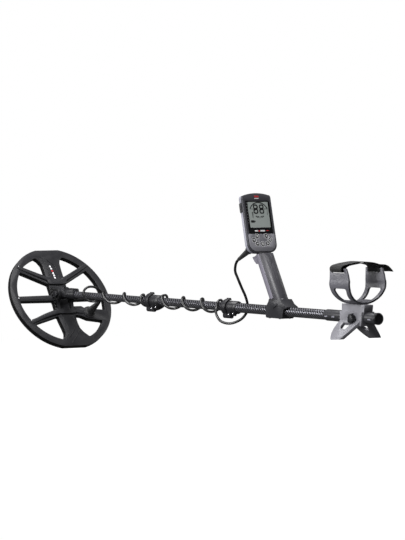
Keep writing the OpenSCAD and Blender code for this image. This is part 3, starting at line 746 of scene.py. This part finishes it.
def bar(u, v, width, height, low, high, corner=0.3):
    return outline_prism(box_outline(u, v, width, height, corner, 3), low, high, POD, on_face)


def hex_radius(angle, across):
    """Distance from a hexagon's middle to its side in a direction."""
    step = math.pi / 3
    return across / 2 / math.cos((angle % step) - step / 2)


def socket_screw(matrix, radius, height, across):
    """A button-head screw with a hexagonal recess, its head on z = 0."""
    angles = [2 * math.pi * k / 48 for k in range(48)]
    rings = []
    for r, h in ((radius, -0.3), (radius, 0.25 * height), (0.93 * radius, 0.6 * height),
                 (0.78 * radius, 0.86 * height), (0.62 * radius, height)):
        rings.append([(r * math.cos(a), r * math.sin(a), h) for a in angles])
    for h in (height, 0.25 * height):
        rings.append([(hex_radius(a, across) * math.cos(a), hex_radius(a, across) * math.sin(a), h)
                      for a in angles])
    mesh = from_rings(rings, matrix)
    smooth(mesh, 30)
    return mesh


def point_along(matrix, place, way):
    """The frame at place whose z runs along way, both in matrix's frame."""
    way = Vector(way).normalized()
    turn = way.to_track_quat("Z", "Y").to_matrix().to_4x4()
    return matrix @ Matrix.Translation(place) @ turn


# ---------------------------------------------------------------- coil
# Raised lines on the coil's top, as points in its own plane: u towards its rear edge, v to the right.
RIB_LINES = (
    ((-124, -34), (-113, -20), (-95, -14), (-72, -14), (-52, -17)),
    ((-118, -14), (-108, -7), (-94, 7), (-78, 12), (-52, 10)),
    ((48, -16), (67, -12), (86, -8), (102, -11), (117, -27)),
    ((48, 14), (68, 19), (85, 13), (106, -5), (120, -24)),
    ((90, 26), (108, 12), (128, -9)),
)
SPINE_LINES = (
    ((-91, -100), (-70, -59), (-54, -27), (-44, -10), (-43, 8), (-52, 27), (-70, 62), (-93, 104)),
    ((68, -108), (52, -64), (42, -28), (38, -8), (39, 10), (40, 30), (43, 46), (45, 54)),
)
CROSS_LINES = (((0, -122), (0, -70), (0, -29)), ((0, 122), (0, 70), (0, 29)))
RIM_SCREW_PLACES = ((-91, -95), (-1, -122), (62, -106))
MARK_PLACES = ((-90, -4.5), (-83.5, -3.2), (-70.5, -1.4), (-64, -0.8), (-57.5, -0.4))
RED_MARK_PLACE = (-77, -2.2)


def coil_mark(u, v):
    """A small plain block printed on the coil's spine."""
    return outline_prism(box_outline(u, v, 5.0, 4.4, 0.8, 3), -0.4, 0.25,
                         COIL @ Matrix.Translation((0, 0, COIL_TOP)), lambda x, y, depth: (x, y, depth))


def make_coil():
    low = {"base": COIL_TOP, "matrix": COIL}
    thin = {"half_width": lambda t: 0.9, "height": lambda t: 0.9 * min(1, 6 * t, 6 * (1 - t)) + 0.15}
    spine = {"half_width": lambda t: 7.2 - 2.4 * abs(2 * t - 1),
             "height": lambda t: 5.6 - 4.6 * min(1.0, abs(2 * t - 1) ** 1.3)}
    flat = {"half_width": lambda t: 4.5, "height": lambda t: 0.9}
    meshes = [ridge(line, **shape, **low)
              for lines, shape in ((RIB_LINES, thin), (SPINE_LINES, spine), (CROSS_LINES, flat))
              for line in lines]
    shown("coil_ribs", joined(meshes), "coil", "coil_plastic")
    buttresses = []
    for side in (-1, 1):
        for k in range(8):
            x = -24 + 8 * k
            top = -12.5 if 1 <= k <= 5 else -15.5
            outline = [(side * 23.5, -19.4), (side * 27.0, -19.4), (side * 26.2, top), (side * 23.5, top)]
            buttresses.append(from_rings([[(x + d, y, z) for y, z in outline] for d in (-1.1, 1.1)], COIL))
    shown("ear_ribs", rounded(joined(buttresses), 0.35, 1), "coil", "coil_plastic")
    dots = [socket_screw(COIL @ Matrix.Translation((x, y, COIL_TOP + 0.7)), 2.1, 1.2, 2.0)
            for x, y in RIM_SCREW_PLACES]
    shown("rim_screws", joined(dots), "coil", "steel")
    shown("spine_marks", joined([coil_mark(*place) for place in MARK_PLACES]), "coil", "ink_light")
    shown("spine_red_mark", coil_mark(*RED_MARK_PLACE), "coil", "ink_red")
    gland = [(0, 0), (13, 0), (13, 2.2), (12.2, 3.2), (10.6, 4.4), (9.6, 6.5), (9.2, 12)]
    for k in range(9):
        h = 13.5 + 4.0 * k
        r = 8.6 - 0.46 * k
        gland += [(r + 0.25, h), (r + 0.25, h + 2.0), (r - 0.75, h + 2.5), (r - 0.75, h + 3.6)]
    gland += [(4.6, 51), (4.3, 53), (3.1, 53), (0, 53)]
    shown("gland_finish", lathe(gland, COIL @ Matrix.Translation((45, 68, -16))), "coil", "rubber",
          stands_for=["cable_gland"])


# ---------------------------------------------------------------- pod
BUTTON_PLACES = {"power": (0, 19), "menu": (-12.5, 37.5), "up": (12.5, 37.5), "down": (-22.5, 29),
                 "left": (-14, 20.5), "right": (14, 20.5), "mode": (22.5, 29)}
BUTTON_RADIUS = 4.6


def triangle(u, v, size, turn):
    angles = [math.radians(turn + 120 * k) for k in range(3)]
    return [(u + size * math.cos(a), v + size * math.sin(a)) for a in angles]


def ring_mark(u, v, outer, inner, low, high):
    return band(arc((u, v), outer, 0, 352.5, 47), arc((u, v), inner, 0, 352.5, 47), low, high, POD, on_face)


def button_symbol(name, u, v, low, high):
    turns = {"up": 90, "down": 270, "left": 180, "right": 0}
    if name in turns:
        return outline_prism(triangle(u, v, 2.6, turns[name]), low, high, POD, on_face)
    if name == "menu":
        return joined([bar(u, v + 1.6 * k, 4.4, 0.95, low, high, 0.2) for k in (-1, 0, 1)])
    if name == "mode":
        return ring_mark(u, v, 2.6, 1.5, low, high)
    return joined([ring_mark(u, v, 2.7, 1.8, low, high), bar(u, v + 2.0, 1.0, 2.8, low, high + 0.05, 0.2)])


def make_buttons():
    for name, (u, v) in BUTTON_PLACES.items():
        node = name + "_button"
        dome = [(0, -5.5), (1.6, -5.5), (1.6, -5), (BUTTON_RADIUS, -5), (BUTTON_RADIUS, 0.35)]
        dome += [(BUTTON_RADIUS * math.cos(a), 0.35 + 0.85 * math.sin(a)) for a in
                 (math.radians(15 * k) for k in range(1, 6))] + [(0, 1.2)]
        place = point_along(POD, (0, u, v), (1, 0, 0))
        shown(node + "_finish", lathe(dome, place), node, "button_rubber", stands_for=[node])
        shown(node + "_mark", button_symbol(name, u, v, 0.9, 1.3), node, "ink_light")


def make_face():
    """Keypad inlay, its rings and the display's frame and graphics."""
    bottom = arc((-17.5, 22), 18.5, 180, 270, 12) + arc((17.5, 22), 18.5, 270, 360, 12)
    top = [(36, 40.5), (34.5, 42.2), (31, 42.6), (6, 42.6), (3, 40.4), (0, 42.6), (-31, 42.6),
           (-34.5, 42.2), (-36, 40.5)]
    inlay = outline_prism(bottom + top, -0.6, 0.45, POD, on_face)
    holes = joined([lathe([(0, -3), (BUTTON_RADIUS + 0.35, -3), (BUTTON_RADIUS + 0.35, 3), (0, 3)],
                          point_along(POD, (0, u, v), (1, 0, 0))) for u, v in BUTTON_PLACES.values()])
    cutter = bpy.data.objects.new("cutter", holes)
    bpy.context.scene.collection.objects.link(cutter)
    cut = with_modifiers(inlay, ("BOOLEAN", {"object": cutter, "operation": "DIFFERENCE", "solver": "EXACT"}))
    bpy.data.objects.remove(cutter)
    shown("keypad_inlay", rounded(cut, 0.25, 2), "root", "keypad_grey")
    rings = [ring_mark(u, v, BUTTON_RADIUS + 1.3, BUTTON_RADIUS + 0.65, 0.3, 0.6)
             for u, v in BUTTON_PLACES.values()]
    shown("keypad_rings", joined(rings), "root", "ink_light")
    window_out, window_in = box_outline(0, 80.7, 65, 74.6, 1.5), box_outline(0.5, 86.5, 56, 59, 1.2)
    shown("window_frame", band(window_out, window_in, -1.4, 0.42, POD, on_face), "root", "window_gloss",
          stands_for=["display_window"])
    shown("display_face", bar(0.5, 86.5, 57, 60, -1.2, 0.12, 1.0), "root", "lcd")
    ink = []
    low, high = 0.05, 0.2
    for centre in (-6.4, 9.8):
        for v, tall in ((104.6, 10.6), (94.2, 11.4)):
            digit_out = box_outline(centre, v, 13.2, tall + 0.6, 5.2)
            digit_in = box_outline(centre, v, 6.6, tall - 6.0, 2.2)
            ink.append(band(digit_out, digit_in, low, high, POD, on_face))
    dial_out, dial_in = (arc((2, 88.0), radius, 26, 154, 40) for radius in (27.6, 25.2))
    ink.append(band(dial_out, dial_in, low, high, POD, on_face))
    for k in range(6):
        ink.append(bar(-16.2, 79.6 + 2.4 * k, 2.0 + 0.3 * k, 1.7, low, high, 0.2))
    for centre, start in ((-3.5, 200), (8.5, 220)):
        ink.append(band(arc((centre, 85.5), 5.8, start, start + 120, 14),
                        arc((centre, 85.5), 4.0, start, start + 120, 14), low, high, POD, on_face))
    ink += [bar(-18.4, 71.2, 9.6, 5.6, low, high, 1.2), bar(-12.4, 71.2, 2.6, 2.8, low, high + 0.02, 0.3),
            bar(24.6, 93, 0.9, 15, low, high, 0.3), bar(2, 79.4, 3.4, 1.0, low, high, 0.3)]
    shown("display_graphics", joined(ink), "root", "ink_dark")
    shown("band_mark", joined([bar(-12.5, 49.6, 8.5, 3.2, 0.3, 0.52), bar(4.5, 49.6, 12, 3.2, 0.3, 0.52)]),
          "root", "ink_light")
    shown("band_red_mark", joined([bar(-5.1, 49.6, 3.6, 3.2, 0.3, 0.52), bar(18, 49.6, 7, 1.5, 0.3, 0.52)]),
          "root", "ink_red")
    shown("top_red_mark", bar(0, 128.2, 12.5, 4.2, -0.3, 0.3, 1.6), "root", "ink_red")
    shown("top_mark", bar(0, 123.6, 12.5, 1.8, -0.3, 0.3, 0.6), "root", "ink_light")
    ticks = [bar(-30.2, 68 + 6.5 * k, 1.2, 1.6, 0.3, 0.5, 0.3) for k in range(8)]
    shown("frame_ticks", joined(ticks), "root", "keypad_grey")
    # Thin near-black bars stand in for the speaker slots' openings: their darkness is painted shade.
    slots = [outline_prism(box_outline(0, 48 + 5 * k, 26 - 3 * abs(k - 2.5), 1.8, 0.85, 4), -29.0, -28.2,
                           POD, on_face) for k in range(6)]
    shown("speaker_slots", joined(slots), "root", "window_gloss")


# ---------------------------------------------------------------- screws
# Places along the shaft, in millimetres from the coil pivot.
LOCKS = (("lower", 394, "middle_shaft"), ("upper", 713, "root"))
CLAMP_SCREW_STATIONS = (898, 936)
CUFF_SCREW_STATIONS = (1175, 1193)


def make_screws():
    for name, x, body in LOCKS:
        heads = [socket_screw(point_along(SHAFT, place, (0, -1, 0)), 2.5, 1.9, 2.5)
                 for place in ((x + 23, -12.2, -17), (x + 37, -10.2, -14))]
        shown(name + "_screw_heads", joined(heads), body, "steel", stands_for=[name + "_lock_screws"])
    under = [socket_screw(point_along(SHAFT, (x, side * 13.5, -15.6), (0, 0, -1)), 2.4, 1.1, 2.2)
             for x in CLAMP_SCREW_STATIONS for side in (-1, 1)]
    shown("clamp_screw_heads", joined(under), "root", "steel")
    cuff = [socket_screw(point_along(SHAFT, (x, 0, 32.4), (0, 0, 1)), 4.0, 1.8, 3.4)
            for x in CUFF_SCREW_STATIONS]
    shown("cuff_screw_heads", joined(cuff), "armrest", "steel")


# ---------------------------------------------------------------- plug
def make_plug():
    profile = [(0, -5), (4.4, -5), (4.4, 5), (6.4, 5), (6.6, 6.2), (6.3, 14)]
    for k in range(8):
        h, r = 15 + 3.1 * k, 6.0 - 0.24 * k
        profile += [(r + 0.15, h), (r + 0.15, h + 1.7), (r - 0.5, h + 2.0), (r - 0.5, h + 2.8)]
    profile += [(4.2, 40), (4.0, PLUG_LENGTH), (0, PLUG_LENGTH)]
    shown("plug_finish", lathe(profile, PLUG), "root", "rubber", stands_for=["cable_plug"])
    grips = []
    for k in range(20):
        turn = PLUG @ Matrix.Rotation(2 * math.pi * k / 20, 4, "Z")
        grips.append(from_rings([[(8.2, -0.5, h), (8.75, -0.32, h), (8.75, 0.32, h), (8.2, 0.5, h)]
                                 for h in (0.9, 4.2)], turn))
    shown("plug_ring_grips", joined(grips), "plug_ring", "black_plastic")


# ---------------------------------------------------------------- armrest strap
STRAP_FRONT, STRAP_WIDTH, STRAP_THICK = 1175, 40, 1.5
STRAP_PATH = [(82.6, 96.2), (76, 103.2), (69.5, 108.4), (61, 111), (47, 112), (30, 116), (0, 118.2),
              (-28, 115.6), (-44, 112.8), (-53, 110), (-57, 105.5), (-56.8, 100.6), (-53.6, 97.4),
              (-49, 97.4), (-45.2, 99.8), (-44.4, 104), (-42, 108), (-33, 111.2), (-18, 113.6),
              (0, 115.6), (20, 114.4), (36, 111.2), (42.4, 108), (43.8, 104), (44.2, 99.5),
              (46, 96.5), (49, 96), (52.6, 97.6), (54, 102), (53.4, 106.5)]


TAIL_STEPS = 12


def make_strap():
    """The strap along its path; only its free tail, the first steps of the route, is wavy across."""
    points = [(0, *p) for p in STRAP_PATH]
    route = flowing(points, (0, -0.5, 0.85), (0, 0, 1), step=2.0)
    columns = 24
    rings = []
    for i, point in enumerate(route):
        way = (route[min(i + 1, len(route) - 1)] - route[max(i - 1, 0)]).normalized()
        normal = Vector((0, -way.z, way.y))
        ring = []
        for face in (1, -1):
            for k in range(columns + 1):
                share = k / columns if face == 1 else 1 - k / columns
                thick = STRAP_THICK / 2 * (0.55 if share in (0, 1) else 1)
                sag = 0
                if i < TAIL_STEPS:
                    sag = 0.35 * math.sin(2 * math.pi * share + i * 0.05) * min(1, abs(point.y) / 30)
                place = point + normal * (face * thick + sag)
                ring.append((STRAP_FRONT + STRAP_WIDTH * share, place.y, place.z))
        rings.append(ring)
    mesh = from_rings(rings, SHAFT)
    smooth(mesh, 60)
    strap = shown("strap_webbing", mesh, NODE_BODY["arm_strap"], "webbing", stands_for=["arm_strap"])


# ---------------------------------------------------------------- collar and sleeve
# Pads on the rear sleeve, leaving out the stretch round the armrest's stand at rest.
PAD_STATIONS = (1102, 1127, 1252)
CAP_FACE = 1271.1


def make_collar():
    """The black collar between the grip and the pod."""
    neck = [(19.8 * math.cos(a), 15.3 * math.sin(a)) for a in (math.pi * k / 24 for k in range(48))]
    neck = [(min(max(x, -14.3), 8), y) for x, y in neck]
    prism = outline_prism(neck, -3.9, -1.05, POD, lambda u, v, depth: (u, v, depth))
    shown("neck_collar", rounded(prism, 0.3), "root", "black_plastic")


def make_sleeve():
    pads = [outline_prism(box_outline(x, -2, 10.4, 2.6, 0.9, 3), side * 11.4, side * 12.0, SHAFT,
                          lambda u, v, depth: (u, depth, v))
            for x in PAD_STATIONS for side in (-1, 1)]
    shown("sleeve_pads", rounded(joined(pads), 0.2, 1), "root", "pod_grey")
    rim = [(0, 0), (9.0, 0), (9.0, 0.5), (9.6, 0.8), (11.6, 0.8), (12.2, 0.3), (12.2, -0.5), (0, -0.5)]
    shown("cap_rim", lathe(rim, point_along(SHAFT, (CAP_FACE, 0, 0), (1, 0, 0))), "root", "black_plastic")


make_coil()
make_buttons()
make_face()
make_screws()
make_plug()
make_strap()
make_collar()
make_sleeve()


# ---------------------------------------------------------------- stage
def make_stage():
    edit = bmesh.new()
    bmesh.ops.create_grid(edit, x_segments=1, y_segments=1, size=14)
    mesh = bpy.data.meshes.new("floor")
    edit.to_mesh(mesh)
    edit.free()
    floor = bpy.data.objects.new("floor", mesh)
    bpy.context.scene.collection.objects.link(floor)
    floor.visible_diffuse = False
    floor.visible_glossy = False
    n = Nodes("floor")
    grain = n.noise(6, 3)
    low, high = rgba((0.12, 0.12, 0.12)), rgba((0.13, 0.13, 0.13))
    n.set(Base_Color=n.mix(n.spread(grain, 0.3, 0.7, 0, 1), low, high),
          Roughness=1.0, Specular_IOR_Level=0.0, Emission_Color=rgba((1, 1, 1)), Emission_Strength=1.0)
    mesh.materials.append(n.material)


def area_light(name, place, aim, size, power):
    data = bpy.data.lights.new(name, "AREA")
    data.shape = "RECTANGLE"
    data.size, data.size_y = size
    data.energy = power
    light = bpy.data.objects.new(name, data)
    light.location = place
    light.rotation_euler = (Vector(aim) - Vector(place)).to_track_quat("-Z", "Y").to_euler()
    bpy.context.scene.collection.objects.link(light)


AMBIENT = 0.06


def make_lights():
    world = bpy.data.worlds.new("studio")
    bpy.context.scene.world = world
    world.use_nodes = True
    tree = world.node_tree
    background = tree.nodes["Background"]
    background.inputs["Color"].default_value = (1, 1, 1, 1)
    camera_ray = tree.nodes.new("ShaderNodeLightPath").outputs["Is Camera Ray"]
    strength = tree.nodes.new("ShaderNodeMapRange")
    tree.links.new(camera_ray, strength.inputs["Value"])
    strength.inputs["To Min"].default_value = AMBIENT
    tree.links.new(strength.outputs["Result"], background.inputs["Strength"])
    area_light("key", (0.9, -2.8, 1.3), (0.1, 0, 0.15), (0.9, 1.4), 85)
    area_light("top", (0.0, -0.3, 2.2), (0.0, 0, 0.12), (2.8, 1.2), 75)
    area_light("back", (0.8, 2.8, 1.4), (0.0, 0, 0.12), (1.2, 1.2), 12)
    area_light("left", (-1.6, -2.2, 0.9), (-0.2, 0, 0.12), (1.0, 1.0), 18)


make_stage()
make_lights()
bpy.context.scene.view_settings.view_transform = "Standard"
